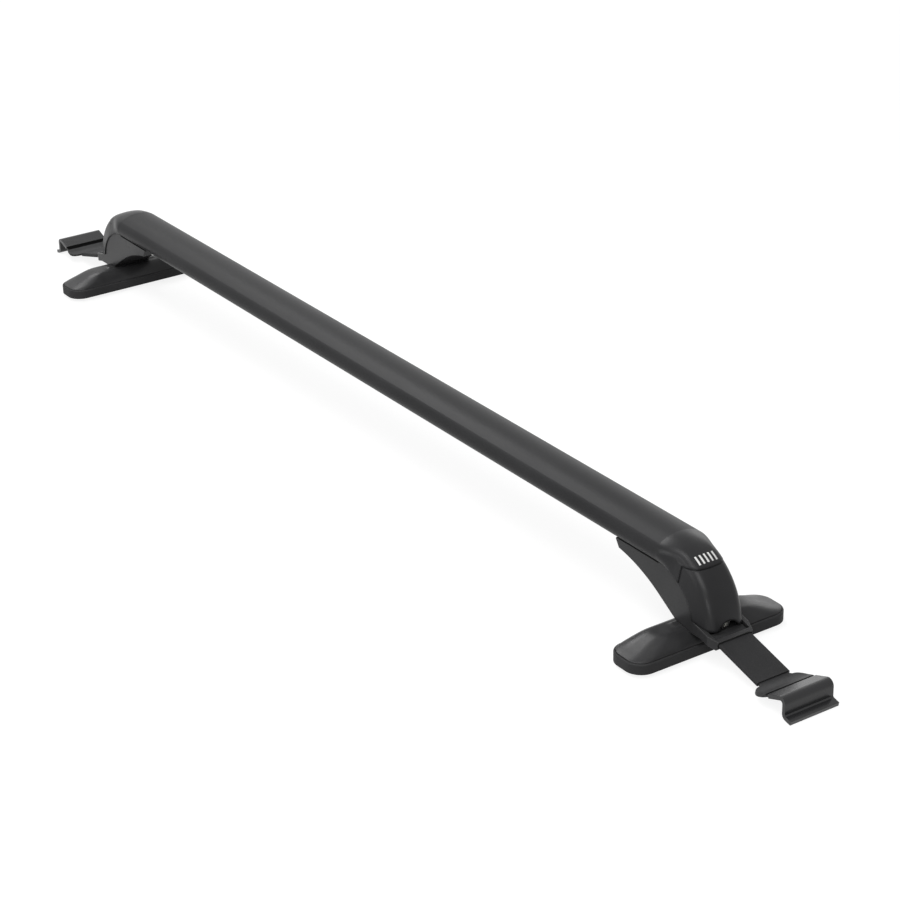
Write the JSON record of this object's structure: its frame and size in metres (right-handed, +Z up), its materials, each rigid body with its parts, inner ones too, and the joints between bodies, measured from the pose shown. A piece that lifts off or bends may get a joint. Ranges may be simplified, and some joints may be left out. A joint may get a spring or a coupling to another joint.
{
  "type": "roof rack crossbar",
  "caption": "Oval roof bar on arched feet, with rubber pads and screw-drawn hook straps that grip the door frames.",
  "frame": {"origin": "middle of the bar's length and width, at the level of the hooks' lips, which are the lowest points", "axes": "X along the bar, from the left foot to the right; Y along the car; Z up"},
  "size_m": [1.2612, 0.1574, 0.089],
  "materials": {
    "bar_black": "black satin powder coat",
    "moulded_black": "fine grain",
    "rubber_black": "matte",
    "strap_black": "satin paint on steel",
    "sleeve_black": "soft grain",
    "boot_black": "gloss",
    "zinc_steel": "zinc plated"
  },
  "bodies": {
    "rack": {"bar_extrusion": "bar_black", "foot_right": "moulded_black", "nut_plate_right": "zinc_steel", "saddle_bolts_right": "zinc_steel", "saddle_washers_right": "zinc_steel", "base_shell_right": "moulded_black", "rubber_pad_right": "rubber_black", "base_screws_right": "zinc_steel", "anchor_nut_right": "zinc_steel", "foot_left": "moulded_black", "nut_plate_left": "zinc_steel", "saddle_bolts_left": "zinc_steel", "saddle_washers_left": "zinc_steel", "base_shell_left": "moulded_black", "rubber_pad_left": "rubber_black", "base_screws_left": "zinc_steel", "anchor_nut_left": "zinc_steel"},
    "cover_body_right": {"cover_right": "moulded_black"},
    "hook_body_right": {"hook_strap_right": "strap_black", "strap_sleeve_right": "sleeve_black", "hook_boot_right": "boot_black", "screw_washer_right": "zinc_steel"},
    "screw_body_right": {"tension_screw_right": "zinc_steel"},
    "cover_body_left": {"cover_left": "moulded_black"},
    "hook_body_left": {"hook_strap_left": "strap_black", "strap_sleeve_left": "sleeve_black", "hook_boot_left": "boot_black", "screw_washer_left": "zinc_steel"},
    "screw_body_left": {"tension_screw_left": "zinc_steel"}
  },
  "joints": [
    {"name": "cover_pull_right", "type": "slide", "parent": "rack", "child": "cover_body_right", "axis": [1, 0, 0], "range_m": [0, 0.04]},
    {"name": "strap_draw_right", "type": "slide", "parent": "rack", "child": "hook_body_right", "axis": [0.9656, 0, -0.2602], "range_m": [-0.012, 0.004]},
    {"name": "screw_turn_right", "type": "hinge", "parent": "hook_body_right", "child": "screw_body_right", "pos_m": [0.51651, 0, 0.03346], "axis": [0.9656, 0, -0.2602], "range_deg": [-4320, 1440]},
    {"name": "cover_pull_left", "type": "slide", "parent": "rack", "child": "cover_body_left", "axis": [-1, 0, 0], "range_m": [0, 0.04]},
    {"name": "strap_draw_left", "type": "slide", "parent": "rack", "child": "hook_body_left", "axis": [-0.9656, 0, -0.2602], "range_m": [-0.012, 0.004]},
    {"name": "screw_turn_left", "type": "hinge", "parent": "hook_body_left", "child": "screw_body_left", "pos_m": [-0.51651, 0, 0.03346], "axis": [-0.9656, 0, -0.2602], "range_deg": [-4320, 1440]}
  ],
  "couplings": [
    {"joint": "screw_turn_right", "follows": "strap_draw_right", "rad_per_m": 6283},
    {"joint": "screw_turn_left", "follows": "strap_draw_left", "rad_per_m": 6283}
  ]
}
